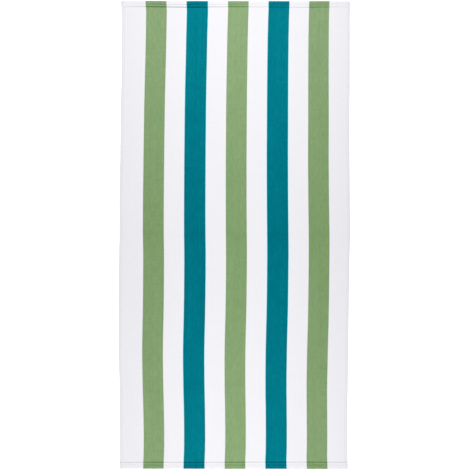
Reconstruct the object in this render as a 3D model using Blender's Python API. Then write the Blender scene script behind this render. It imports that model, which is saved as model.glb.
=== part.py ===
"""Beach towel, laid flat with its face up.

One piece of striped velour cloth. Both ends are turned under in a deep hem with
two rows of stitching, and both long sides in a narrow hem with one row. The cloth
lies on its flat underside at z = 0, centred on X and Y. Y runs along the towel,
and the stripes run with it.

A point of the cloth has two flat coordinates: "across", from the left side (-) to
the right side (+), and "along", from the near end (-) to the far end (+). They
are the cloth's sizes as cut, with straight hems. The cloth lies a little crooked,
so lay_flat() turns them into the place where the point lies.
"""
import math

import bmesh
import bpy
import numpy as np

MM = 0.001

# Driving dimensions
LENGTH = 1524 * MM
THICKNESS = 3.0 * MM            # velour body, pile included
END_HEM = 21 * MM               # depth of the hem at each end
SIDE_HEM = 9.5 * MM             # width of the hem down each side
END_HEM_RISE = 0.9 * MM         # how far three layers stand above the body
SIDE_HEM_RISE = 0.5 * MM
HEM_SLOPE = 3 * MM              # width of the slope from a hem down to the body
RIM_RADIUS = 1.1 * MM           # the round of a folded edge
CORNER_RADIUS = 4 * MM

# Rows of stitching, by distance from the edge, and the groove they pull in the cloth
END_SEAMS = (11 * MM, 19.5 * MM)
SIDE_SEAM = 8.5 * MM
SEAM_DEPTH = 0.8 * MM
SEAM_HALF_WIDTH = 2.0 * MM

# The mesh in the plain part of the cloth, and round its edges
ROW_PITCH = 24 * MM
RIM_SEGMENTS = 2
SQUARE_EDGE = math.radians(60)      # an edge that turns more than this is a rim
SHARP_EDGE = math.radians(50)       # an edge that turns more than this is shaded sharp
FLAT_ANGLE = math.radians(0.5)      # faces that differ by less lie in one plane

# Stripes from left to right: (colour, width)
STRIPES = (
    ("white", 76.5 * MM),
    ("green", 67.5 * MM),
    ("white", 64.8 * MM),
    ("teal", 70.5 * MM),
    ("white", 65.2 * MM),
    ("green", 67.5 * MM),
    ("white", 65.1 * MM),
    ("teal", 70.0 * MM),
    ("white", 64.9 * MM),
    ("green", 67.0 * MM),
    ("white", 67.0 * MM),
)
COLOURS = {
    "white": (0.86, 0.85, 0.88),
    "green": (0.24, 0.36, 0.15),
    "teal": (0.002, 0.19, 0.24),
}
ROUGHNESS = 0.95

# How the cloth lies: where its sides and its outermost stripes are, section by
# section along the towel. Columns: along, left side, first stripe, last stripe,
# right side.
SECTIONS_MM = (
    (762, -366.5, -288.5, 307.5, 376.0),
    (635, -366.5, -289.0, 307.0, 375.8),
    (505, -367.4, -292.0, 307.0, 375.3),
    (450, -369.8, -293.2, 307.3, 374.8),
    (375, -370.5, -294.5, 307.5, 374.2),
    (245, -372.1, -296.5, 307.0, 374.6),
    (115, -374.0, -298.0, 308.0, 376.1),
    (0, -374.5, -298.5, 309.5, 377.0),
    (-55, -375.5, -297.5, 309.5, 375.1),
    (-115, -376.5, -297.5, 309.0, 374.0),
    (-245, -377.0, -298.5, 307.5, 372.0),
    (-375, -376.5, -300.5, 304.5, 370.5),
    (-490, -374.2, -299.0, 302.0, 368.9),
    (-570, -373.5, -297.0, 302.0, 367.0),
    (-655, -372.5, -295.5, 302.5, 367.0),
    (-762, -372.5, -296.0, 302.0, 367.5),
)
END_SKEW = 1.0 * MM             # the right side lies this much nearer than the left

# How far the middle of the towel strays to the right between its sides: (along, stray)
STRAYS_MM = (
    (762, 3.6),
    (738, 3.0),
    (705, 1.7),
    (640, 0.2),
    (407, -0.8),
    (187, 0),
    (-139, 0),
    (-375, -0.8),
    (-563, -0.1),
    (-685, -0.8),
    (-711, -1.2),
    (-739, -2.4),
    (-762, -2.5),
)

# The end hems spread past the body at the corners. Columns: left, right.
HEM_FLARES_MM = {
    "far": (3.0, 1.0),
    "near": (0.8, 1.8),
}
HEM_FLARE_REACH = 42 * MM       # how far from the end the spread begins

# The rows of stitching stray in long waves. Columns: how far in the wave lies, its
# swing, its wavelength and the place across the towel where it is furthest in.
SEAM_WAVES_MM = {
    "far": (-0.2, 0.8, 350, -165),
    "near": (2.1, 0.7, 1400, 300),
}
SEAM_WAVE_REACH = 90 * MM       # the cloth's rows are straight past here

# Creases left by folding, soft troughs that run across the cloth. Columns: along and
# across where the middle lies, depth, half width (along) and half length (across).
CENTRE_CREASE_HALF_WIDTH_MM = 26
CREASES_MM = (
    (0, 0, 0.8, CENTRE_CREASE_HALF_WIDTH_MM, 900),
    (385, -220, 0.6, 42, 210),
    (190, -20, 0.4, 50, 420),
    (-350, 330, 0.4, 40, 120),
    (-447, 270, 0.4, 45, 140),
    (-490, -120, 0.6, 42, 190),
)

# Worked out from the stripes
WIDTH = sum(width for _, width in STRIPES)
FIRST_STRIPE = -WIDTH / 2 + STRIPES[0][1]
LAST_STRIPE = WIDTH / 2 - STRIPES[-1][1]


def clear_scene():
    for item in list(bpy.data.objects):
        bpy.data.objects.remove(item, do_unlink=True)


def smooth(value, start, end):
    """0 before start, 1 after end, and an even curve between them."""
    t = min(1.0, max(0.0, (value - start) / (end - start)))
    return t * t * (3 - 2 * t)


def trough(distance, half_width):
    """1 at the middle of a soft trough, 0 at its edges."""
    if abs(distance) >= half_width:
        return 0.0
    return 0.5 + 0.5 * math.cos(math.pi * distance / half_width)


# ---------------------------------------------------------------- the stripes


def stripe_borders():
    """Places across the cloth where a stripe ends, both sides included."""
    borders = [-WIDTH / 2]
    for _, width in STRIPES:
        borders.append(borders[-1] + width)
    return borders


def stripe_at(across):
    """Colour of the stripe at a place across the cloth."""
    for (colour, _), right in zip(STRIPES, stripe_borders()[1:]):
        if across < right:
            return colour
    return STRIPES[-1][0]


# ---------------------------------------------------------------- how it lies


def section_at(along):
    """Left side, first stripe, last stripe and right side where the cloth lies."""
    rows = [[value * MM for value in row] for row in reversed(SECTIONS_MM)]
    last = len(rows) - 1
    i = max(k for k in range(last) if along >= rows[k][0] or k == 0)
    before, start, end, after = (rows[max(0, min(last, i + k))] for k in (-1, 0, 1, 2))
    span = end[0] - start[0]
    t = (along - start[0]) / span
    places = []
    for column in range(1, len(start)):
        rise_in = (end[column] - before[column]) / (end[0] - before[0]) * span
        rise_out = (after[column] - start[column]) / (after[0] - start[0]) * span
        places.append(
            start[column] * (2 * t**3 - 3 * t**2 + 1)
            + rise_in * (t**3 - 2 * t**2 + t)
            + end[column] * (3 * t**2 - 2 * t**3)
            + rise_out * (t**3 - t**2)
        )
    return places


def hem_flare(across, along):
    """How far the end hem carries a point sideways."""
    left, right = HEM_FLARES_MM["far" if along > 0 else "near"]
    from_left = across / WIDTH + 0.5
    in_hem = 1 - smooth(LENGTH / 2 - abs(along), 0, HEM_FLARE_REACH)
    return in_hem * (from_left * right - (1 - from_left) * left) * MM


def stray(across, along):
    """How far the stripes stray to the right of an even course between the sides."""
    places, strays = zip(*reversed(STRAYS_MM))
    in_middle = float(np.interp(along / MM, places, strays)) * MM
    return in_middle * (1 - (2 * across / WIDTH)**2)


def seam_wave(across, along):
    """How far a row of the end hem strays towards the middle of the towel."""
    offset, swing, wavelength, crest = SEAM_WAVES_MM["far" if along > 0 else "near"]
    from_end = LENGTH / 2 - abs(along)
    follows = smooth(from_end, 0, END_SEAMS[1]) * (1 - smooth(from_end, END_HEM, SEAM_WAVE_REACH))
    wave = math.cos(math.tau * (across / MM - crest) / wavelength)
    return follows * (offset + swing * wave) * MM


def lay_flat(across, along):
    """Where a point of the cut cloth lies, in X and Y."""
    flat = (-WIDTH / 2, FIRST_STRIPE, LAST_STRIPE, WIDTH / 2)
    laid = section_at(along)
    i = 0 if across < flat[1] else 1 if across < flat[2] else 2
    share = (across - flat[i]) / (flat[i + 1] - flat[i])
    x = laid[i] + share * (laid[i + 1] - laid[i])
    x += hem_flare(across, along) + stray(across, along)
    towards_middle = math.copysign(1, along) * seam_wave(across, along)
    y = along - towards_middle - END_SKEW * across / WIDTH
    return x, y


def round_corner(across, along):
    """Pull the very corners of the cloth in, as a turned and pressed corner is."""
    into_side = abs(across) - (WIDTH / 2 - CORNER_RADIUS)
    into_end = abs(along) - (LENGTH / 2 - CORNER_RADIUS)
    if min(into_side, into_end) <= 0 or math.hypot(into_side, into_end) <= CORNER_RADIUS:
        return across, along
    pull = CORNER_RADIUS / math.hypot(into_side, into_end)
    across = math.copysign(WIDTH / 2 - CORNER_RADIUS + into_side * pull, across)
    along = math.copysign(LENGTH / 2 - CORNER_RADIUS + into_end * pull, along)
    return across, along


def face_height(across, along):
    """Height of the towel's face above its underside."""
    from_side = WIDTH / 2 - abs(across)
    from_end = LENGTH / 2 - abs(along)
    end_rise = END_HEM_RISE * (1 - smooth(from_end, END_HEM, END_HEM + HEM_SLOPE))
    side_rise = SIDE_HEM_RISE * (1 - smooth(from_side, SIDE_HEM, SIDE_HEM + HEM_SLOPE))
    height = THICKNESS + max(end_rise, side_rise)

    grooves = [trough(from_end - seam, SEAM_HALF_WIDTH) for seam in END_SEAMS]
    grooves.append(trough(from_side - SIDE_SEAM, SEAM_HALF_WIDTH))
    height -= SEAM_DEPTH * max(grooves)

    for middle_along, middle_across, depth, half_width, half_length in CREASES_MM:
        crease = trough(along / MM - middle_along, half_width)
        crease *= trough(across / MM - middle_across, half_length)
        height -= depth * MM * crease
    return height


# ---------------------------------------------------------------- the mesh


def from_both_edges(distances, size):
    """Stations at these distances from both edges of a width or a length."""
    inner = [size / 2 - distance for distance in distances]
    return [-station for station in inner] + inner


def seam_stations(seam):
    return [seam - SEAM_HALF_WIDTH, seam, seam + SEAM_HALF_WIDTH]


def stations_across():
    """Where the mesh has a column: the side hems, and each stripe's border and middle."""
    hem = [0, 2 * RIM_RADIUS, *seam_stations(SIDE_SEAM), SIDE_HEM + HEM_SLOPE]
    borders = stripe_borders()
    middles = [(left + right) / 2 for left, right in zip(borders, borders[1:])]
    return sorted(from_both_edges(hem, WIDTH) + borders[1:-1] + middles)


def stations_along():
    """Where the mesh has a row: the end hems, the centre crease and the plain cloth."""
    hem = [0, 2 * RIM_RADIUS, END_HEM + HEM_SLOPE]
    for seam in END_SEAMS:
        hem += seam_stations(seam)
    crease = [share / 3 * CENTRE_CREASE_HALF_WIDTH_MM * MM for share in (-3, -2, -1, 1, 2, 3)]
    rows_each_way = round((LENGTH / 2 - END_HEM) / ROW_PITCH)
    pitch = LENGTH / 2 / rows_each_way
    plain = [pitch * k for k in range(1 - rows_each_way, rows_each_way)]
    return sorted(from_both_edges(hem, LENGTH) + crease + plain)


def flat_grid(bm):
    """The underside, a flat grid. Each point carries its place on the cut cloth."""
    across = stations_across()
    along = stations_along()
    bmesh.ops.create_grid(bm, x_segments=len(across) - 1, y_segments=len(along) - 1, size=1)
    on_cloth = bm.verts.layers.float_vector.new("on_cloth")
    for index, vertex in enumerate(bm.verts):
        row, column = divmod(index, len(across))
        vertex[on_cloth] = (across[column], along[row], 0)
    return on_cloth


def raise_face(bm):
    """The towel's face, a copy of the grid joined to it all round. Returns its points."""
    raised = bmesh.ops.extrude_face_region(bm, geom=list(bm.faces), use_keep_orig=True)
    return {item for item in raised["geom"] if isinstance(item, bmesh.types.BMVert)}


def paint_stripes(bm, on_cloth, colours):
    for face in bm.faces:
        middle = sum(vertex[on_cloth].x for vertex in face.verts) / len(face.verts)
        face.material_index = colours.index(stripe_at(middle))


def round_rims(bm, face_points):
    """Round the square edges round the face and the underside."""
    square = [edge for edge in bm.edges if edge.calc_face_angle() > SQUARE_EDGE]
    rims = [edge for edge in square if len(face_points & set(edge.verts)) != 1]
    bmesh.ops.bevel(
        bm,
        geom=rims,
        affect="EDGES",
        offset=RIM_RADIUS,
        segments=RIM_SEGMENTS,
        profile=0.5,
        clamp_overlap=True,
        material=-1,
    )


def merge_underside(bm):
    """The flat underside needs no grid: one face for each stripe."""
    flat = {face for face in bm.faces if face.normal.z < -math.cos(FLAT_ANGLE)}
    bmesh.ops.dissolve_limit(
        bm,
        angle_limit=FLAT_ANGLE,
        edges=[edge for edge in bm.edges if flat.issuperset(edge.link_faces)],
        verts=[],
        delimit={"MATERIAL"},
    )


def centre_on_origin(mesh):
    """Put the middle of the mesh's outline over the origin."""
    for axis in (0, 1):
        places = [vertex.co[axis] for vertex in mesh.vertices]
        middle = (min(places) + max(places)) / 2
        for vertex in mesh.vertices:
            vertex.co[axis] -= middle


def towel_mesh(colours):
    """The whole towel as one closed body."""
    bm = bmesh.new()
    on_cloth = flat_grid(bm)
    face_points = raise_face(bm)
    paint_stripes(bm, on_cloth, colours)
    for vertex in bm.verts:
        across, along, _ = vertex[on_cloth]
        vertex.co.xy = lay_flat(*round_corner(across, along))
        vertex.co.z = face_height(across, along) if vertex in face_points else 0
    bmesh.ops.recalc_face_normals(bm, faces=bm.faces)
    round_rims(bm, face_points)
    merge_underside(bm)

    mesh = bpy.data.meshes.new("towel")
    bm.to_mesh(mesh)
    bm.free()
    centre_on_origin(mesh)
    return mesh


def cotton(colour):
    material = bpy.data.materials.new("cotton_" + colour)
    material.use_nodes = True
    shader = material.node_tree.nodes["Principled BSDF"]
    shader.inputs["Base Color"].default_value = (*COLOURS[colour], 1)
    shader.inputs["Roughness"].default_value = ROUGHNESS
    shader.inputs["Metallic"].default_value = 0
    return material


def build_towel():
    colours = list(COLOURS)
    mesh = towel_mesh(colours)
    for colour in colours:
        mesh.materials.append(cotton(colour))
    mesh.shade_smooth()
    mesh.set_sharp_from_angle(angle=SHARP_EDGE)
    collection = bpy.data.collections.new("beach_towel")
    bpy.context.scene.collection.children.link(collection)
    collection.objects.link(bpy.data.objects.new("towel", mesh))


clear_scene()
build_towel()
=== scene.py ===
"""Looks of the beach towel: striped cotton, velour above and terry beneath, laid flat.

The cloth is two faces, the velour and the terry, whose edges run into four folded hems.
Every surface is worked out on the cloth's own two coordinates, "across" from the left
side (-) to the right (+) and "along" from the near end (-) to the far end (+). They are
the cloth's sizes as cut. lay_flat() turns them into the place where a point lies.
"""
import math

import bmesh
import bpy
import numpy as np
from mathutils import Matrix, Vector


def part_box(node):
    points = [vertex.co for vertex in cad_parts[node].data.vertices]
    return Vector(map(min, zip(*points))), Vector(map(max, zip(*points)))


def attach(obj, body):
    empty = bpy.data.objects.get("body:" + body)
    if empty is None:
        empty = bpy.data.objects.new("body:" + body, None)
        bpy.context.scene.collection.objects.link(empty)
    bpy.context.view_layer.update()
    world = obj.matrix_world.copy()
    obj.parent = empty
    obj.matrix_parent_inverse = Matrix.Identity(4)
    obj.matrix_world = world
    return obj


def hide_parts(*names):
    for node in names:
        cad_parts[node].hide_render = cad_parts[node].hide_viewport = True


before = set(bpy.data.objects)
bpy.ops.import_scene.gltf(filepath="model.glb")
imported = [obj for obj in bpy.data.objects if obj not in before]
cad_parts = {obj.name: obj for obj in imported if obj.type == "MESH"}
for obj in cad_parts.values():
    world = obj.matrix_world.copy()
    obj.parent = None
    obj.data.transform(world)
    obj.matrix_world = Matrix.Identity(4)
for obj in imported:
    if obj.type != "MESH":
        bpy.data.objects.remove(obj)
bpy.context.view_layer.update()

CAD_LOW, CAD_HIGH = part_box("towel")

MM = 0.001

# Sizes of the cloth, as in the CAD source
LENGTH = 1524 * MM
THICKNESS = 3.0 * MM
END_HEM = 21 * MM
SIDE_HEM = 9.5 * MM
END_HEM_RISE = 0.9 * MM
SIDE_HEM_RISE = 0.5 * MM
HEM_SLOPE = 3 * MM
CORNER_RADIUS = 4 * MM
END_SEAMS = (11 * MM, 19.5 * MM)
SIDE_SEAM = 8.5 * MM

# Stripes from left to right: (colour, width, how light it is beside others of its colour)
STRIPES = (
    ("white", 76.5 * MM, 1.0),
    ("green", 67.5 * MM, 1.0),
    ("white", 64.8 * MM, 1.0),
    ("teal", 70.5 * MM, 0.99),
    ("white", 65.2 * MM, 1.0),
    ("green", 67.5 * MM, 1.04),
    ("white", 65.1 * MM, 1.0),
    ("teal", 70.0 * MM, 0.99),
    ("white", 64.9 * MM, 1.0),
    ("green", 67.0 * MM, 1.0),
    ("white", 67.0 * MM, 1.0),
)
WIDTH = sum(width for _, width, _ in STRIPES)
FIRST_STRIPE = -WIDTH / 2 + STRIPES[0][1]
LAST_STRIPE = WIDTH / 2 - STRIPES[-1][1]

# How the cloth lies, as in the CAD source. Columns: along, left side, first stripe,
# last stripe, right side.
SECTIONS_MM = (
    (762, -366.5, -288.5, 307.5, 376.0),
    (635, -366.5, -289.0, 307.0, 375.8),
    (505, -367.4, -292.0, 307.0, 375.3),
    (450, -369.8, -293.2, 307.3, 374.8),
    (375, -370.5, -294.5, 307.5, 374.2),
    (245, -372.1, -296.5, 307.0, 374.6),
    (115, -374.0, -298.0, 308.0, 376.1),
    (0, -374.5, -298.5, 309.5, 377.0),
    (-55, -375.5, -297.5, 309.5, 375.1),
    (-115, -376.5, -297.5, 309.0, 374.0),
    (-245, -377.0, -298.5, 307.5, 372.0),
    (-375, -376.5, -300.5, 304.5, 370.5),
    (-490, -374.2, -299.0, 302.0, 368.9),
    (-570, -373.5, -297.0, 302.0, 367.0),
    (-655, -372.5, -295.5, 302.5, 367.0),
    (-762, -372.5, -296.0, 302.0, 367.5),
)
# How far the middle of the towel strays to the right between its sides: (along, stray)
STRAYS_MM = (
    (762, 3.6),
    (738, 3.0),
    (705, 1.7),
    (640, 0.2),
    (407, -0.8),
    (187, 0),
    (-139, 0),
    (-375, -0.8),
    (-563, -0.1),
    (-685, -0.8),
    (-711, -1.2),
    (-739, -2.4),
    (-762, -2.5),
)
END_SKEW = 1.0 * MM
FAR_FLARES = (3.0 * MM, 1.0 * MM)       # left, right
NEAR_FLARES = (0.8 * MM, 1.8 * MM)
HEM_FLARE_REACH = 42 * MM
FAR_SEAM_WAVE = (-0.2 * MM, 0.8 * MM, 350 * MM, -165 * MM)  # offset, swing, wavelength, crest
NEAR_SEAM_WAVE = (2.1 * MM, 0.7 * MM, 1400 * MM, 300 * MM)
SEAM_WAVE_REACH = 90 * MM

# Creases left by folding. Columns: along and across where the middle lies, depth, half
# width (along) and half length (across).
CREASES_MM = (
    (0, 0, 0.8, 26, 900),
    (385, -220, 0.6, 42, 210),
    (190, -20, 0.4, 50, 420),
    (-350, 330, 0.4, 40, 120),
    (-447, 270, 0.4, 45, 140),
    (-490, -120, 0.6, 42, 190),
)
DEEPEST_CREASE = max(crease[2] for crease in CREASES_MM) * MM

# Finer relief, which only the looks have
SEAM_DEPTH = 1.0 * MM
SEAM_HALF_WIDTH = 2.3 * MM
END_SEAM_PRESS = (0.42, 1.0)    # how hard each of an end hem's two rows presses
SIDE_SEAM_PRESS = 0.22
HARDEST_PRESS = 1.3             # past this only the painted shade in a groove gets darker, and the groove no deeper
BACK_SEAM_DEPTH = 0.45 * MM
FLAP_STEP = 0.8 * MM            # the terry lies this much above a hem's folded edge
FLAP_SLOPE = 6 * MM
SWELL_HEIGHT = 0.22 * MM
SWELL_LENGTH = 62 * MM
RIPPLE_HEIGHT = 0.3 * MM        # puckers beside a row of stitching
RIPPLE_LENGTH = 13 * MM
RIPPLE_REACH = 30 * MM
EDGE_LIFT = 1.4 * MM            # how far an edge stands off the floor at most
EDGE_LIFT_LENGTH = 120 * MM
EDGE_LIFT_SHIFT = 0.4           # of its waves across the towel, in such lengths
EDGE_LIFT_REACH = 65 * MM

# How hard the far hem's rows press across the towel, as a multiple of how hard the near
# hem's do; this sets the depth of their grooves and the painted shade in them. Columns: across,
# multiple.
FAR_PRESS_MM = (
    (-373, 0.35),
    (-340, 0.9),
    (-290, 1.25),
    (-245, 1.6),
    (-190, 1.9),
    (-130, 1.35),
    (0, 1.05),
    (140, 0.65),
    (250, 0.95),
    (373, 0.5),
)

# Stitches. Each is a thread through five points, from one of its ends to the other.
STITCH_PITCH = 2.8 * MM
STITCH_LENGTH = 2.4 * MM
STITCH_SLANT = 0.16 * MM
STITCH_POINTS = (-0.5, -0.36, 0, 0.36, 0.5)         # as shares of its length
STITCH_SINKS_MM = (0.5, 0.15, 0.08, 0.15, 0.5)      # how deep in the pile each point lies
STITCH_FULLNESS = (0.7, 1, 1, 1, 0.7)               # how thick the thread is at each
STITCHING_INSET = 2 * MM        # how far at least an end hem's rows stay from the sides
THREAD_RADIUS = 0.11 * MM
THREAD_SIDES = 5
PUCKER = 0.13 * MM              # how far each stitch draws the cloth in
PUCKER_HALF_WIDTH = 2.2 * MM

# Folded edges
FOLD_WIDTH = 1.9 * MM           # how far in the round of a fold reaches
FOLD_STEPS = 5
TUCK = 0.9 * MM                 # how far a face runs on under the hem that meets it
TUCK_DROP = 1.0 * MM            # how far it drops there
LAYERS = 3                      # of cloth that show at the open ends of an end hem
LAYER_BULGE = 0.6 * MM
STEPS_A_LAYER = 5

# The lip of a hem inside its innermost row of stitching, from its inner edge on. Pairs
# of (share of the lip's width, share of the hem's height).
LIP_UPPER = ((0.9, 0.5), (0.5, 0.75))
LIP_UNDER = ((0.95, 0.26), (1, 0.1))

# Spacing of the mesh
FACE_PITCH = 4.4 * MM
BACK_PITCH = 6.0 * MM
EDGE_PITCH = 2.6 * MM
EDGE_ZONE = 30 * MM
HEM_PITCH = 1.5 * MM
SEAM_LINES = np.array([-2.3, -1.5, -0.7, 0, 0.7, 1.5, 2.3]) * MM    # to each side of a seam
SEAM_CLEARANCE = 0.4 * MM       # from these to the nearest other line
OUTLINE_SAMPLES = 400           # places along the cloth where its outline is taken
WELD = 0.01 * MM                # points nearer than this become one

# The bake map of a hem, in shares of the map: (start, size)
BAKE_ROUND = (0.02, 0.86)                   # of the faces round the hem, across the map
BAKE_ENDS = ((0.90, 0.03), (0.94, 0.03))    # of each open end, across the map
BAKE_END_LENGTH = (0.05, 0.9)               # of the open ends, along the map

# Reflectance of the dyed cotton, and its borders
COLOURS = {
    "white": (0.802, 0.795, 0.827),
    "green": (0.211, 0.3225, 0.1465),
    "teal": (0.0006, 0.1675, 0.2175),
}
YARN = 0.9 * MM                 # how thick it is, and so how soft a border is
YARN_WANDER = 1.6 * MM          # how far a border goes to and fro in the pile
BLEED_COLOUR = (0.46, 0.81, 0.87)
BLEED = 1.8 * MM                # how far the teal has bled into the white
BLEED_INSET = 0.75 * MM         # how far in its own yarn starts

# Sizes across and along the cloth of what makes the cotton uneven
VELOUR_PILE_MM = (1.3, 2.2)
TERRY_LOOPS_MM = (2.2, 2.8)
GRAIN_MM = (3.6, 26)
STREAK_MM = (9, 420)
WEFT_MM = (45, 5)
MOTTLE_MM = (38, 60)
NOISE_DETAIL = 2.0
NOISE_ROUGHNESS = 0.5

VELOUR_PILE_DEPTH = 0.35 * MM
TERRY_LOOP_DEPTH = 0.8 * MM
COTTON_ROUGHNESS = (0.98, 0.82)     # between the tips of the pile, and at them
SHEEN = 0.02
SHEEN_ROUGHNESS = 0.3

# How much heavier the dye lies in places, as a share of its strength. At the middle and the ends,
# between the tufts of pile, in the seam grooves and in the creases this is painted light and
# shade; the rest is in the dye itself.
# Painted shade: how much deeper the colour is around the middle
PAINTED_SHADE_MIDDLE = 0.05
PAINTED_LIGHT_FAR = 0.14                  # painted light: how much paler the far end is than the middle
PAINTED_LIGHT_NEAR = 0.095                # painted light: how much paler the near end is than the middle
PILE_GAP_SHADE_IN_DYE = -0.35                # painted shade: colour deeper between the tips of the pile than at them
DYE_GRAIN = 0.13
DYE_STREAK = 0.09
DYE_WEFT = 0.06
DYE_MOTTLE = 0.04
# Painted shade in the seam grooves, deepest on strong colours
GROOVE_SHADE_IN_DYE = 0.38
# Painted shade in the creases left by folding
CREASE_SHADE_IN_DYE = 0.03
DYE_END_HEM = 0.06
PILE_SHADE = 0.12               # painted shade: how much lighter the tips of the pile are painted than the middle, and darker the gaps between them
STREAK_SHADE = 0.03             # how much lighter or darker a streak along the cloth is
SIDE_HEM_SHADE = 0.035          # how much darker the side hems are painted, as painted shade along the edges
GROOVE_SHADE = 0.24             # painted shade: how much darker a seam's groove is painted
GROOVE_SHADE_START = 0.28       # how deep a groove has to be before its painted shade starts

# Sewing thread
THREAD_COLOUR = (0.11, 0.16, 0.17)
THREAD_ROUGHNESS = 0.6
PLY_TURNS = 4                   # of its plies round one another in a stitch
PLY_SHADES = (0.75, 1)          # painted shade between two plies, and none on one
PLY_DEPTH = 0.1 * MM
PLY_BUMP = 0.6

# Steps that put neighbouring places far apart in a sine, for numbers that look random
CHANCE_STEPS = (127.1, 311.7, 74.7)         # for a column, a row and a seed
CHANCE_SPREAD = 43758.5453


# ---------------------------------------------------------------- curves and unevenness


def smooth(value, start, end):
    """0 before start, 1 after end, and an even curve between them."""
    t = np.clip((value - start) / (end - start), 0, 1)
    return t * t * (3 - 2 * t)


def trough(distance, half_width):
    """1 at the middle of a soft trough, 0 at its edges and past them."""
    return 0.5 + 0.5 * np.cos(math.pi * np.clip(distance / half_width, -1, 1))


def chance(column, row, seed):
    """A number from 0 to 1 for a whole-number place, the same in every run."""
    a_column, a_row, a_seed = CHANCE_STEPS
    number = np.sin(column * a_column + row * a_row + seed * a_seed) * CHANCE_SPREAD
    return number - np.floor(number)


def unevenness(x, y, seed):
    """Smooth bumps from -1 to 1, about one for each unit of x and y."""
    column, row = np.floor(x), np.floor(y)
    a, b = smooth(x - column, 0, 1), smooth(y - row, 0, 1)
    near = chance(column, row, seed) * (1 - a) + chance(column + 1, row, seed) * a
    far = chance(column, row + 1, seed) * (1 - a) + chance(column + 1, row + 1, seed) * a
    return 2 * (near * (1 - b) + far * b) - 1


# ---------------------------------------------------------------- where the cloth lies


def section_at(along):
    """Left side, first stripe, last stripe and right side where the cloth lies."""
    rows = np.array(SECTIONS_MM[::-1]) * MM
    last = len(rows) - 1
    i = np.clip(np.searchsorted(rows[:, 0], along, side="right") - 1, 0, last - 1)
    before, start, end, after = (rows[np.clip(i + k, 0, last)] for k in (-1, 0, 1, 2))
    span = end[..., :1] - start[..., :1]
    t = (along[..., None] - start[..., :1]) / span
    rise_in = (end - before) / (end - before)[..., :1] * span
    rise_out = (after - start) / (after - start)[..., :1] * span
    laid = start * (2 * t**3 - 3 * t**2 + 1) + rise_in * (t**3 - 2 * t**2 + t)
    laid += end * (3 * t**2 - 2 * t**3) + rise_out * (t**3 - t**2)
    return np.moveaxis(laid[..., 1:], -1, 0)


def hem_flare(across, along):
    """How far the end hem carries a point sideways."""
    left, right = (np.where(along > 0, *pair) for pair in zip(FAR_FLARES, NEAR_FLARES))
    from_left = across / WIDTH + 0.5
    in_hem = 1 - smooth(LENGTH / 2 - np.abs(along), 0, HEM_FLARE_REACH)
    return in_hem * (from_left * right - (1 - from_left) * left)


def stray(across, along):
    """How far the stripes stray to the right of an even course between the sides."""
    places, strays = np.array(STRAYS_MM[::-1]).T * MM
    return np.interp(along, places, strays) * (1 - (2 * across / WIDTH)**2)


def seam_wave(across, along):
    """How far a row of the end hem strays towards the middle of the towel."""
    from_end = LENGTH / 2 - np.abs(along)
    follows = smooth(from_end, 0, END_SEAMS[1]) * (1 - smooth(from_end, END_HEM, SEAM_WAVE_REACH))
    offset, swing, wavelength, crest = (
        np.where(along > 0, *pair) for pair in zip(FAR_SEAM_WAVE, NEAR_SEAM_WAVE)
    )
    return follows * (offset + swing * np.cos(math.tau * (across - crest) / wavelength))


def round_corner(across, along):
    """Pull the very corners of the cloth in, as a turned and pressed corner is."""
    into_side = np.abs(across) - (WIDTH / 2 - CORNER_RADIUS)
    into_end = np.abs(along) - (LENGTH / 2 - CORNER_RADIUS)
    reach = np.hypot(into_side, into_end)
    outside = (np.minimum(into_side, into_end) > 0) & (reach > CORNER_RADIUS)
    pull = 1 - np.where(outside, CORNER_RADIUS / np.maximum(reach, CORNER_RADIUS), 1)
    return (
        across - np.copysign(into_side * pull, across),
        along - np.copysign(into_end * pull, along),
    )


def lay_flat(across, along):
    """Where a point of the cut cloth lies, in X and Y."""
    across, along = round_corner(across, along)
    left_side, first, last, right_side = section_at(along)
    x = np.select(
        [across < FIRST_STRIPE, across < LAST_STRIPE],
        [
            first + (across - FIRST_STRIPE) * (first - left_side) / (FIRST_STRIPE + WIDTH / 2),
            first + (across - FIRST_STRIPE) * (last - first) / (LAST_STRIPE - FIRST_STRIPE),
        ],
        last + (across - LAST_STRIPE) * (right_side - last) / (WIDTH / 2 - LAST_STRIPE),
    )
    x = x + hem_flare(across, along) + stray(across, along)
    y = along - np.sign(along) * seam_wave(across, along) - END_SKEW * across / WIDTH
    return x, y


def centre_of_cad():
    """How far the cloth as laid out has to move to lie where its CAD node does."""
    along = np.linspace(-LENGTH / 2, LENGTH / 2, OUTLINE_SAMPLES)
    left_x, _ = lay_flat(np.full_like(along, -WIDTH / 2), along)
    right_x, _ = lay_flat(np.full_like(along, WIDTH / 2), along)
    return (CAD_LOW.x + CAD_HIGH.x) / 2 - (left_x.min() + right_x.max()) / 2


CENTRE_X = centre_of_cad()


# ---------------------------------------------------------------- heights


def from_edges(across, along):
    """Distance from the nearer side and from the nearer end."""
    return WIDTH / 2 - np.abs(across), LENGTH / 2 - np.abs(along)


def groove(across, along, hardest=math.inf):
    """How hard a row of stitching presses the cloth: 1 in the near hem's inner row."""
    from_side, from_end = from_edges(across, along)
    rows = [
        press * trough(from_end - seam, SEAM_HALF_WIDTH)
        for press, seam in zip(END_SEAM_PRESS, END_SEAMS)
    ]
    places, multiples = zip(*FAR_PRESS_MM)
    far_press = np.minimum(np.interp(across / MM, places, multiples), hardest)
    end = np.maximum(*rows) * np.where(along > 0, far_press, 1)
    side = SIDE_SEAM_PRESS * trough(from_side - SIDE_SEAM, SEAM_HALF_WIDTH)
    return np.maximum(end, side * smooth(from_end, *END_SEAMS))


def edge_lift(across, along):
    """How far the cloth stands off the floor, in long low waves along its edges."""
    from_side, from_end = from_edges(across, along)
    by_edge = 1 - smooth(np.minimum(from_side, from_end), 0, EDGE_LIFT_REACH)
    place = across / EDGE_LIFT_LENGTH + EDGE_LIFT_SHIFT
    waves = unevenness(place, along / EDGE_LIFT_LENGTH, seed=5)
    return EDGE_LIFT * by_edge * np.clip(waves, 0, 1)


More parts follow.
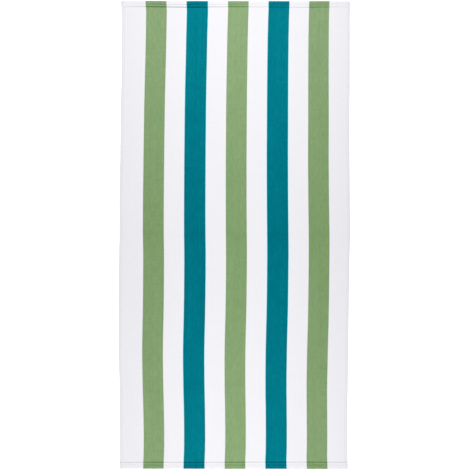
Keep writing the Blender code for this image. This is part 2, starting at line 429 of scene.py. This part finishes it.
def ripples(across, along):
    """Small puckers that the stitching draws in the cloth beside it."""
    from_side, from_end = from_edges(across, along)
    by_side = 1 - smooth(from_side, SIDE_HEM, SIDE_HEM + RIPPLE_REACH)
    by_end = 1 - smooth(from_end, END_HEM, END_HEM + RIPPLE_REACH)
    down_side = unevenness(along / RIPPLE_LENGTH, across / RIPPLE_REACH, seed=1)
    down_end = unevenness(across / RIPPLE_LENGTH, along / RIPPLE_REACH, seed=2)
    return RIPPLE_HEIGHT * (by_side * down_side + by_end * down_end)


def creases(across, along):
    """How deep the cloth lies in the creases that folding has left."""
    depth = 0
    for middle_along, middle_across, deepest, half_width, half_length in CREASES_MM:
        crease = trough(along - middle_along * MM, half_width * MM)
        crease = crease * trough(across - middle_across * MM, half_length * MM)
        depth = depth + deepest * MM * crease
    return depth


def face_height(across, along):
    """Height of the velour face above the floor."""
    from_side, from_end = from_edges(across, along)
    end_rise = END_HEM_RISE * (1 - smooth(from_end, END_HEM, END_HEM + HEM_SLOPE))
    side_rise = SIDE_HEM_RISE * (1 - smooth(from_side, SIDE_HEM, SIDE_HEM + HEM_SLOPE))
    swells = SWELL_HEIGHT * unevenness(across / SWELL_LENGTH, along / SWELL_LENGTH, seed=3)
    height = THICKNESS + np.maximum(end_rise, side_rise) + edge_lift(across, along)
    height = height + swells + ripples(across, along) - creases(across, along)
    return height - SEAM_DEPTH * groove(across, along, HARDEST_PRESS)


def hem_underside(across, along):
    """Height of the underside of a hem, with the bobbin thread's grooves."""
    in_groove = groove(across, along, HARDEST_PRESS)
    return edge_lift(across, along) + BACK_SEAM_DEPTH * in_groove


def terry_height(across, along):
    """Height of the terry face, which rises to a hem's folded edge."""
    from_side, from_end = from_edges(across, along)
    inside = np.minimum(from_side - SIDE_HEM, from_end - END_HEM)
    return edge_lift(across, along) + FLAP_STEP * (1 - smooth(inside, 0, FLAP_SLOPE))


def tucked_in(across, along):
    """0 on the open cloth, and up to 1 past the stitching, where a hem covers it."""
    from_side, from_end = from_edges(across, along)
    inside = np.minimum(from_side - SIDE_SEAM, from_end - END_SEAMS[-1])
    return smooth(-inside, 0, TUCK)


# ---------------------------------------------------------------- meshes


def cloth_mesh(name, across, along, height, faces, bake_map, unrolled=None):
    """A piece of cloth. The corners of its faces carry their place on the cloth for the
    material, and its points say what part of the cloth they are in."""
    x, y = lay_flat(across, along)
    points = np.column_stack([(x + CENTRE_X).ravel(), y.ravel(), height.ravel()])
    mesh = bpy.data.meshes.new(name)
    mesh.from_pydata(points.tolist(), [], faces.tolist())
    mesh.shade_smooth()
    corners = np.zeros(len(mesh.loops), int)
    mesh.loops.foreach_get("vertex_index", corners)

    on_cloth = unrolled if unrolled is not None else (across, along)
    place = np.column_stack([part.ravel() for part in (*on_cloth, np.zeros_like(across))])
    cloth = mesh.attributes.new("cloth", "FLOAT_VECTOR", "CORNER")
    cloth.data.foreach_set("vector", place[corners].ravel())
    from_side, from_end = from_edges(across, along)
    # groove, crease and side_hem say where the material paints shade; end_hem where its dye is
    # deeper
    shares = {
        "groove": groove(across, along),
        "crease": creases(across, along) / DEEPEST_CREASE,
        "end_hem": 1 - smooth(from_end, *END_SEAMS),
        "side_hem": 1 - smooth(from_side, SIDE_SEAM, SIDE_HEM),
    }
    for share, values in shares.items():
        mesh.attributes.new(share, "FLOAT", "POINT").data.foreach_set("value", values.ravel())

    uv_map = mesh.uv_layers.new(name="OFBake")
    uv_map.data.foreach_set("uv", bake_map[corners].ravel())
    return mesh


def grid_faces(rows, columns):
    """The faces between rows x columns of points, numbered row by row."""
    index = np.arange(rows * columns).reshape(rows, columns)
    return np.stack(
        [index[:-1, :-1], index[:-1, 1:], index[1:, 1:], index[1:, :-1]], axis=-1
    ).reshape(-1, 4)


def stations(size, hem, pitch):
    """Places across or along the cloth for the lines of a mesh, closer near the edges."""
    edge = size / 2 - hem
    inner = size / 2 - EDGE_ZONE
    seam = edge + np.array([TUCK, TUCK / 2, *(-SEAM_LINES[SEAM_LINES >= 0])])
    plain = math.ceil((seam[-1] - inner) / EDGE_PITCH)
    near = np.linspace(seam[-1], inner, plain, endpoint=False)[1:]
    middle = np.linspace(inner, -inner, math.ceil(2 * inner / pitch))
    outer = np.concatenate([seam, near])
    return np.concatenate([-outer, middle[::-1], outer[::-1]])


def face_mesh(name, height_at, pitch, upward):
    """One face of the open cloth, from hem to hem."""
    across_lines = stations(WIDTH, SIDE_SEAM, pitch)
    along_lines = stations(LENGTH, END_SEAMS[-1], pitch)
    across, along = np.meshgrid(across_lines, along_lines)
    faces = grid_faces(*across.shape)
    if not upward:
        faces = faces[:, ::-1]
    bake_map = np.column_stack([
        (across / WIDTH + 0.5).ravel(),
        (along / LENGTH + 0.5).ravel(),
    ])
    return cloth_mesh(name, across, along, height_at(across, along), faces, bake_map)


def velour_height(across, along):
    """Height of the velour face, which runs in under the hems."""
    return face_height(across, along) - TUCK_DROP * tucked_in(across, along)


# ---------------------------------------------------------------- hems


def across_seams(seams):
    """Distances from the edge, from the innermost row of stitching to the fold."""
    close = np.concatenate([seam + SEAM_LINES for seam in seams])
    plain = np.arange(FOLD_WIDTH + HEM_PITCH, seams[-1], HEM_PITCH)
    from_seam = np.abs(plain[:, None] - np.array(seams)).min(axis=1)
    apart = from_seam > SEAM_LINES[-1] + SEAM_CLEARANCE
    places = np.concatenate([close, plain[apart], [FOLD_WIDTH]])
    return np.sort(places[(places <= seams[-1]) & (places >= FOLD_WIDTH)])[::-1]


def hem_profile(hem, seams):
    """Two lines round a hem, each from its inner edge to the tip of the fold: the upper
    one and the under one, as (distance from the edge, share of the height)."""
    flat = across_seams(seams)
    turn = np.linspace(math.pi / 2, 0, FOLD_STEPS + 1)[1:]
    fold = FOLD_WIDTH * (1 - np.cos(turn))
    profile = []
    for lip, height, bend in ((LIP_UPPER, 1, 0.5), (LIP_UNDER, 0, -0.5)):
        line = [(seams[-1] + share * (hem - seams[-1]), rise) for share, rise in lip]
        line += [(place, height) for place in flat]
        line += zip(fold, 0.5 + bend * np.sin(turn))
        profile.append(np.array(line))
    return profile


def stitch_pucker(run, distance, seams):
    """How far the stitches of a hem draw its faces in, most at the needle's holes."""
    beside = np.maximum.reduce([trough(distance - seam, PUCKER_HALF_WIDTH) for seam in seams])
    return PUCKER * beside * (0.5 + 0.5 * np.cos(math.tau * run / STITCH_PITCH))


def hem_mesh(name, hem, seams, run, to_cloth, tuck, open_ends):
    """A folded hem. run is where its lines are, to_cloth(run, distance from the edge)
    gives a place on the cloth, and tuck is how far each line is drawn in, from 0 to 1."""
    upper, under = hem_profile(hem, seams)
    ring = np.vstack([upper, under[-2::-1], upper[:1]])
    beneath = np.concatenate([np.ones(len(upper)), -np.ones(len(under) - 1), [1]])

    def hem_points(run, distance, share, tuck):
        """Places on the cloth and heights, at this share of the hem's thickness."""
        across, along = to_cloth(run, distance + TUCK * tuck)
        pucker = stitch_pucker(run, distance, seams)
        low = hem_underside(across, along) + pucker + TUCK_DROP * tuck / 2
        high = face_height(across, along) - pucker - TUCK_DROP * tuck
        return across, along, low + share * (high - low)

    lines = [np.broadcast_to(part, (len(run), len(ring))) for part in (
        run[:, None], ring[None, :, 0], ring[None, :, 1], tuck[:, None],
    )]
    across, along, height = hem_points(*lines)
    unrolled = to_cloth(lines[0], lines[1] * beneath)
    round_it = np.concatenate([[0], np.cumsum(np.hypot(
        np.diff(ring[:, 0]), np.diff(ring[:, 1]) * THICKNESS,
    ))])
    start, size = BAKE_ROUND
    share_round = np.broadcast_to(start + size * round_it / round_it[-1], across.shape)
    share_run = np.broadcast_to(((run - run[0]) / (run[-1] - run[0]))[:, None], across.shape)
    bake_map = np.column_stack([share_round.ravel(), share_run.ravel()])
    faces = grid_faces(*across.shape)
    parts = [(across, along, height, unrolled, bake_map, faces)]
    if open_ends:
        parts += [open_end(upper, under, run, hem_points, end) for end in (0, 1)]
    return joined(name, parts)


def open_end(upper, under, run, hem_points, end):
    """The open end of an end hem, where its layers show one above the other."""
    share = np.linspace(0, 1, LAYERS * STEPS_A_LAYER + 1)[:, None]
    distance = upper[:, 0] + share * (under[:, 0] - upper[:, 0])
    height_share = upper[:, 1] + share * (under[:, 1] - upper[:, 1])
    layer = share * LAYERS
    in_layer = 2 * (layer - np.floor(np.clip(layer, 0, LAYERS - 1))) - 1
    thickness = upper[:, 1] - under[:, 1]
    fullness = LAYER_BULGE * smooth(thickness, thickness[0], 1)
    bulge = fullness * np.sqrt(np.clip(1 - in_layer**2, 0, 1))
    outward = (-1, 1)[end]
    across, along, height = hem_points(
        run[-end] + 0 * distance, distance, height_share, np.zeros_like(distance)
    )
    across = across + outward * bulge
    (start, size), (start_along, size_along) = BAKE_ENDS[end], BAKE_END_LENGTH
    bake_map = np.column_stack([
        (start + size * height_share).ravel(),
        (start_along + size_along * distance / distance.max()).ravel(),
    ])
    faces = grid_faces(*distance.shape)
    return across, along, height, (across, along), bake_map, faces


def joined(name, parts):
    """One mesh of several, welded where they meet, with its faces turned outward."""
    counts = np.cumsum([0] + [part[0].size for part in parts])
    across, along, height = (
        np.concatenate([part[k].ravel() for part in parts]) for k in range(3)
    )
    unrolled = [np.concatenate([part[3][k].ravel() for part in parts]) for k in range(2)]
    bake_map = np.vstack([part[4] for part in parts])
    faces = np.vstack([part[5] + count for part, count in zip(parts, counts)])
    mesh = cloth_mesh(name, across, along, height, faces, bake_map, unrolled)
    bm = bmesh.new()
    bm.from_mesh(mesh)
    bmesh.ops.remove_doubles(bm, verts=bm.verts, dist=WELD)
    bmesh.ops.recalc_face_normals(bm, faces=bm.faces)
    bm.to_mesh(mesh)
    bm.free()
    return mesh


def end_hem_mesh(name, end):
    """The hem at the far end (1) or the near end (-1), right across the towel."""
    reach = WIDTH / 2 - LAYER_BULGE
    run = even_lines(reach)
    return hem_mesh(
        name, END_HEM, END_SEAMS, run,
        to_cloth=lambda across, distance: (across, end * (LENGTH / 2 - distance)),
        tuck=np.zeros_like(run), open_ends=True,
    )


def side_hem_mesh(name, side):
    """The hem down the left (-1) or the right (1) side, between the end hems."""
    reach = LENGTH / 2 - END_SEAMS[-1]
    run = even_lines(reach)
    tips = reach + TUCK * np.array([0.5, 1.0])
    run = np.concatenate([-tips[::-1], run, tips])
    return hem_mesh(
        name, SIDE_HEM, (SIDE_SEAM,), run,
        to_cloth=lambda along, distance: (side * (WIDTH / 2 - distance), along),
        tuck=smooth(np.abs(run), reach, reach + TUCK), open_ends=False,
    )


def even_lines(reach):
    """Lines along a hem, three for each stitch."""
    step = STITCH_PITCH / 3
    inside = np.arange(-math.floor(reach / step), math.floor(reach / step) + 1) * step
    return np.concatenate([[-reach], inside[np.abs(inside) < reach - step / 3], [reach]])


# ---------------------------------------------------------------- stitches


def stitch_row(reach, to_cloth, height_at, outward):
    """The stitches of one row on one face, as the lines of their threads. Returns
    points by stitch, by place along the stitch."""
    count = math.floor(reach / STITCH_PITCH)
    middle = (np.arange(-count, count) + 0.5)[:, None] * STITCH_PITCH
    along_stitch = np.array(STITCH_POINTS)
    sink = np.array(STITCH_SINKS_MM) * MM
    run = middle + along_stitch * STITCH_LENGTH
    across, along = to_cloth(run, np.broadcast_to(along_stitch * 2 * STITCH_SLANT, run.shape))
    seam_across, seam_along = to_cloth(run, np.zeros_like(run))
    x, y = lay_flat(across, along)
    z = height_at(seam_across, seam_along) - outward * sink
    return np.stack([x + CENTRE_X, y, z], axis=-1)


def thread_mesh(name, rows):
    """Every stitch of these rows as a short thread whose ends go into the cloth."""
    lines = np.concatenate(rows)
    radius = THREAD_RADIUS * np.array(STITCH_FULLNESS)
    forward = lines[:, -1] - lines[:, 0]
    forward /= np.linalg.norm(forward, axis=1, keepdims=True)
    sideways = np.cross(forward, (0, 0, 1))
    turn = math.tau * np.arange(THREAD_SIDES + 1) / THREAD_SIDES
    out = np.cos(turn)[:, None] * sideways[:, None] + np.sin(turn)[:, None] * np.array([0, 0, 1])
    points = lines[:, :, None] + radius[None, :, None, None] * out[:, None]
    stitches, places, sides = points.shape[:3]
    faces = grid_faces(places, sides)
    faces = (faces[None] + places * sides * np.arange(stitches)[:, None, None]).reshape(-1, 4)
    mesh = bpy.data.meshes.new(name)
    mesh.from_pydata(points.reshape(-1, 3).tolist(), [], faces.tolist())
    mesh.shade_smooth()

    length = np.linspace(0, 1, places)[:, None] + np.zeros(sides)
    round_it = np.linspace(0, 1, sides) + np.zeros((places, 1))
    strand = np.stack([length, round_it], axis=-1).reshape(-1, 2)
    strand = np.tile(strand, (stitches, 1))
    corners = np.zeros(len(mesh.loops), int)
    mesh.loops.foreach_get("vertex_index", corners)
    for map_name in ("Strand", "OFBake"):
        uv_map = mesh.uv_layers.new(name=map_name)
        uv_map.data.foreach_set("uv", strand[corners].ravel())
    return mesh


def both_rows(reach, to_cloth):
    """A seam's stitches on the upper face and those on the underside."""
    return [
        stitch_row(reach, to_cloth, face_height, outward=1),
        stitch_row(reach, to_cloth, hem_underside, outward=-1),
    ]


def end_stitching():
    """Both seams of both end hems."""
    rows = []
    for end in (-1, 1):
        for seam in END_SEAMS:
            def to_cloth(across, aside, end=end, seam=seam):
                return across, end * (LENGTH / 2 - seam) + aside
            rows += both_rows(WIDTH / 2 - STITCHING_INSET, to_cloth)
    return thread_mesh("end_hem_stitching", rows)


def side_stitching():
    """The seams of both side hems."""
    rows = []
    for side in (-1, 1):
        def to_cloth(along, aside, side=side):
            return side * (WIDTH / 2 - SIDE_SEAM) + aside, along
        rows += both_rows(LENGTH / 2 - END_HEM, to_cloth)
    return thread_mesh("side_hem_stitching", rows)


# ---------------------------------------------------------------- materials


def new_material(name):
    """A material, its node tree and its main shader."""
    material = bpy.data.materials.new(name)
    material.use_nodes = True
    return material, material.node_tree, material.node_tree.nodes["Principled BSDF"]


def feed(tree, node, inputs):
    """Set a shader node's inputs, or link them where they come from another node."""
    for key, value in dict(inputs).items():
        if isinstance(value, bpy.types.NodeSocket):
            tree.links.new(value, node.inputs[key])
        else:
            node.inputs[key].default_value = value


def add(tree, kind, inputs=(), **settings):
    """Add a shader node with these inputs and settings."""
    made = tree.nodes.new("ShaderNode" + kind)
    for setting, value in settings.items():
        setattr(made, setting, value)
    feed(tree, made, inputs)
    return made


def calculate(tree, operation, *values):
    """What a math node makes of these values."""
    return add(tree, "Math", enumerate(values), operation=operation).outputs[0]


def uneven(tree, place, size_mm):
    """Noise from 0 to 1 with bumps of this size across and along the cloth."""
    scale = [1 / (size * MM) for size in size_mm] + [1]
    scaled = add(tree, "VectorMath", {0: place, 1: scale}, operation="MULTIPLY")
    return add(tree, "TexNoise", {
        "Vector": scaled.outputs[0], "Scale": 1.0,
        "Detail": NOISE_DETAIL, "Roughness": NOISE_ROUGHNESS,
    }).outputs[0]


def colour_changes():
    """Where the colour changes from left to right: where it starts to, where the new
    one is whole, and the new one. Each border is as soft as the yarn is thick, and the
    teal has bled a little way into the white beside it."""
    border = -WIDTH / 2
    for (before, width, _), (after, _, light) in zip(STRIPES, STRIPES[1:]):
        border += width
        colour = [light * part for part in COLOURS[after]]
        if after == "teal":
            yield border - BLEED, border, BLEED_COLOUR
            yield border + BLEED_INSET - YARN / 2, border + BLEED_INSET + YARN / 2, colour
        elif before == "teal":
            yield border - BLEED_INSET - YARN / 2, border - BLEED_INSET + YARN / 2, BLEED_COLOUR
            yield border, border + BLEED, colour
        else:
            yield border - YARN / 2, border + YARN / 2, colour


def stripe_colour(tree, across):
    """The stripes, as one colour mixed over the last at each change."""
    stripes = (*COLOURS[STRIPES[0][0]], 1)
    for start, whole, colour in colour_changes():
        past_it = add(tree, "MapRange", {
            "Value": across, "From Min": start, "From Max": whole,
        }).outputs["Result"]
        stripes = add(tree, "MixRGB", {
            "Fac": past_it, "Color1": stripes, "Color2": (*colour, 1),
        }).outputs[0]
    return stripes


def spread(tree, value, low, high):
    """A value from 0 to 1 as one from low to high."""
    made = add(tree, "MapRange", {"Value": value, "To Min": low, "To Max": high})
    return made.outputs["Result"]


def striped_cotton(name, pile_mm, pile_depth):
    """Dyed cotton whose pile or loops are pile_mm across and along, with painted light and shade
    in its colour.
    """
    material, tree, shader = new_material(name)
    place = add(tree, "Attribute", attribute_name="cloth").outputs["Vector"]
    in_groove, folded, end_hem, side_hem = (
        add(tree, "Attribute", attribute_name=share).outputs["Fac"]
        for share in ("groove", "crease", "end_hem", "side_hem")
    )
    axes = add(tree, "SeparateXYZ", {0: place}).outputs

    pile = uneven(tree, place, pile_mm)
    grain = uneven(tree, place, GRAIN_MM)
    streak = uneven(tree, place, STREAK_MM)
    weft = uneven(tree, place, WEFT_MM)
    mottle = uneven(tree, place, MOTTLE_MM)
    wander = calculate(tree, "MULTIPLY", calculate(tree, "SUBTRACT", pile, 0.5), YARN_WANDER)
    colour = stripe_colour(tree, calculate(tree, "ADD", axes[0], wander))

    # More dye darkens a colour as a power of it: pale cotton hardly, teal a good deal.
    # Painted light and shade: paler towards both ends, deeper around the middle
    far = spread(tree, calculate(tree, "DIVIDE", axes[1], LENGTH / 2), 0, -PAINTED_LIGHT_FAR)
    near = spread(tree, calculate(tree, "DIVIDE", axes[1], -LENGTH / 2), 0, -PAINTED_LIGHT_NEAR)
    dye_and_painted_shade = calculate(tree, "ADD", calculate(tree, "ADD", far, near), 1 + PAINTED_SHADE_MIDDLE)
    for share, swing in (
        (pile, PILE_GAP_SHADE_IN_DYE), (grain, DYE_GRAIN), (streak, DYE_STREAK), (weft, DYE_WEFT),
        (mottle, DYE_MOTTLE),
    ):
        dye_and_painted_shade = calculate(tree, "ADD", dye_and_painted_shade, spread(tree, share, -swing, swing))
    # Painted shade, as deeper dye, in the seam grooves and creases; the end hems' own dye is
    # deeper
    for share, more in ((in_groove, GROOVE_SHADE_IN_DYE), (folded, CREASE_SHADE_IN_DYE), (end_hem, DYE_END_HEM)):
        dye_and_painted_shade = calculate(tree, "ADD", dye_and_painted_shade, calculate(tree, "MULTIPLY", share, more))
    colour = add(tree, "Gamma", {"Color": colour, "Gamma": dye_and_painted_shade}).outputs[0]

    light = spread(tree, streak, 1 - STREAK_SHADE, 1 + STREAK_SHADE)
    # Painted shade between the tufts of pile and along the side hems
    for share, at_none, at_whole in (
        (pile, 1 - PILE_SHADE, 1 + PILE_SHADE), (side_hem, 1, 1 - SIDE_HEM_SHADE),
    ):
        light = calculate(tree, "MULTIPLY", light, spread(tree, share, at_none, at_whole))
    # Painted shade in the seam grooves, once they are deep enough
    deep = calculate(tree, "MAXIMUM", calculate(tree, "SUBTRACT", in_groove, GROOVE_SHADE_START), 0)
    shade = calculate(tree, "MULTIPLY", deep, GROOVE_SHADE / (1 - GROOVE_SHADE_START))
    light = calculate(tree, "MULTIPLY", light, calculate(tree, "SUBTRACT", 1, shade))
    tinted = add(tree, "HueSaturation", {"Color": colour, "Value": light})
    bump = add(tree, "Bump", {"Height": pile, "Distance": pile_depth, "Strength": 1.0})
    feed(tree, shader, {
        "Base Color": tinted.outputs[0],
        "Roughness": spread(tree, pile, *COTTON_ROUGHNESS),
        "Normal": bump.outputs[0],
        "Specular IOR Level": 0,
        "Sheen Weight": SHEEN,
        "Sheen Roughness": SHEEN_ROUGHNESS,
    })
    return material


def thread_material():
    """Dark grey sewing thread, with the twist of its plies and painted shade between them."""
    material, tree, shader = new_material("sewing_thread")
    strand = add(tree, "UVMap", uv_map="Strand").outputs[0]
    axes = add(tree, "SeparateXYZ", {0: strand}).outputs
    turns = calculate(tree, "ADD", calculate(tree, "MULTIPLY", axes[0], PLY_TURNS), axes[1])
    ply = calculate(tree, "SINE", calculate(tree, "MULTIPLY", turns, math.tau))
    ply = spread(tree, calculate(tree, "MULTIPLY_ADD", ply, 0.5, 0.5), *PLY_SHADES)
    colour = add(tree, "HueSaturation", {"Color": (*THREAD_COLOUR, 1), "Value": ply})
    bump = add(tree, "Bump", {"Height": ply, "Distance": PLY_DEPTH, "Strength": PLY_BUMP})
    feed(tree, shader, {
        "Base Color": colour.outputs[0],
        "Roughness": THREAD_ROUGHNESS,
        "Normal": bump.outputs[0],
    })
    return material


def glowing_material(name, colour, light_colour, light):
    """A matt surface that gives off some light of its own."""
    material, tree, shader = new_material(name)
    feed(tree, shader, {
        "Base Color": (*colour, 1),
        "Roughness": 1,
        "Specular IOR Level": 0,
        "Emission Color": (*light_colour, 1),
        "Emission Strength": light,
    })
    return material


# ---------------------------------------------------------------- the towel


def show(mesh, material):
    """A piece of the towel from a finished mesh."""
    mesh.materials.append(material)
    piece = bpy.data.objects.new(mesh.name, mesh)
    bpy.context.scene.collection.objects.link(piece)
    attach(piece, "root")
    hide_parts("towel")
    return piece


def build_towel():
    """The whole towel: its two faces, four hems and their stitching, as one sheet."""
    velour = striped_cotton("striped_velour", VELOUR_PILE_MM, VELOUR_PILE_DEPTH)
    terry = striped_cotton("striped_terry", TERRY_LOOPS_MM, TERRY_LOOP_DEPTH)
    thread = thread_material()
    face = show(face_mesh("velour_face", velour_height, FACE_PITCH, upward=True), velour)
    back = show(face_mesh("terry_back", terry_height, BACK_PITCH, upward=False), terry)
    hems = [
        show(end_hem_mesh("far_end_hem", 1), velour),
        show(end_hem_mesh("near_end_hem", -1), velour),
        show(side_hem_mesh("left_side_hem", -1), velour),
        show(side_hem_mesh("right_side_hem", 1), velour),
    ]
    stitching = [show(end_stitching(), thread), show(side_stitching(), thread)]


# ---------------------------------------------------------------- the studio

PHOTO_SIDE = 470                # pixels of the photo, each way
METRES_A_PIXEL = 3.2577 * MM
TOWEL_MIDDLE_PX = (234.50, 234.95)      # where the towel's middle is in the photo
LENS = 100                      # focal length and sensor width, in mm
SENSOR = 36
WHITE = (1, 1, 1)
BLACK = (0, 0, 0)
STUDIO_WHITE = (0.98, 0.99, 1)
STUDIO_LIGHT = 0.5              # from all round
FLOOR_SIZE = 60
FLOOR_DROP = 0.2 * MM
FLOOR_COLOUR = (0.95, 0.95, 0.95)
FLOOR_LIGHT = 0.3               # of its own, so that it is as white as in the photo
BACKDROP_SIDES = 96
BACKDROP_LIGHT = 0.78
SOFTBOX_HEIGHT = 1.1
SOFTBOX_SIZE = (0.4, 1.6)
SOFTBOXES = {                   # place in X and Y, and watts
    "far_softbox": (-0.015, 1.0, 10.1),
    "near_softbox": (0, -1.0, 9.6),
}


def add_floor():
    """A white floor just under the towel."""
    bpy.ops.mesh.primitive_plane_add(size=FLOOR_SIZE, location=(0, 0, -FLOOR_DROP))
    floor = bpy.context.object
    floor.name = "floor"
    white = glowing_material("studio_white", FLOOR_COLOUR, WHITE, FLOOR_LIGHT)
    floor.data.materials.append(white)


def add_backdrop():
    """A wall round the floor, as pale as the floor is there. Only the camera sees it, so
    it changes nothing in the light."""
    bpy.ops.mesh.primitive_cylinder_add(
        vertices=BACKDROP_SIDES, radius=FLOOR_SIZE / 2, depth=FLOOR_SIZE,
        end_fill_type="NOTHING",
    )
    backdrop = bpy.context.object
    backdrop.name = "backdrop"
    pale = glowing_material("studio_backdrop", BLACK, STUDIO_WHITE, BACKDROP_LIGHT)
    backdrop.data.materials.append(pale)
    backdrop.visible_diffuse = False
    backdrop.visible_glossy = False
    backdrop.visible_shadow = False


def add_softbox(name, x, y, watts):
    """A softbox over the towel, which points straight down."""
    light = bpy.data.lights.new(name, "AREA")
    light.shape = "RECTANGLE"
    light.size, light.size_y = SOFTBOX_SIZE
    light.energy = watts
    lamp = bpy.data.objects.new(name, light)
    lamp.location = (x, y, SOFTBOX_HEIGHT)
    lamp.visible_camera = False
    bpy.context.scene.collection.objects.link(lamp)


def add_camera():
    """Straight above the towel, with the photo's frame."""
    camera = bpy.data.cameras.new("camera")
    camera.lens = LENS
    camera.sensor_width = SENSOR
    above = bpy.data.objects.new("camera", camera)
    right = (PHOTO_SIDE / 2 - TOWEL_MIDDLE_PX[0]) * METRES_A_PIXEL
    up = (TOWEL_MIDDLE_PX[1] - PHOTO_SIDE / 2) * METRES_A_PIXEL
    height = PHOTO_SIDE * METRES_A_PIXEL * LENS / SENSOR + THICKNESS
    above.location = (right, up, height)
    bpy.context.scene.collection.objects.link(above)
    bpy.context.scene.camera = above


def light_studio():
    """Even light from all round, and a softbox over each half of the towel."""
    world = bpy.data.worlds.new("studio")
    world.use_nodes = True
    feed(world.node_tree, world.node_tree.nodes["Background"], {
        "Color": (*STUDIO_WHITE, 1),
        "Strength": STUDIO_LIGHT,
    })
    bpy.context.scene.world = world
    for name, (x, y, watts) in SOFTBOXES.items():
        add_softbox(name, x, y, watts)
    bpy.context.scene.view_settings.view_transform = "Standard"


build_towel()
add_floor()
add_backdrop()
add_camera()
light_studio()
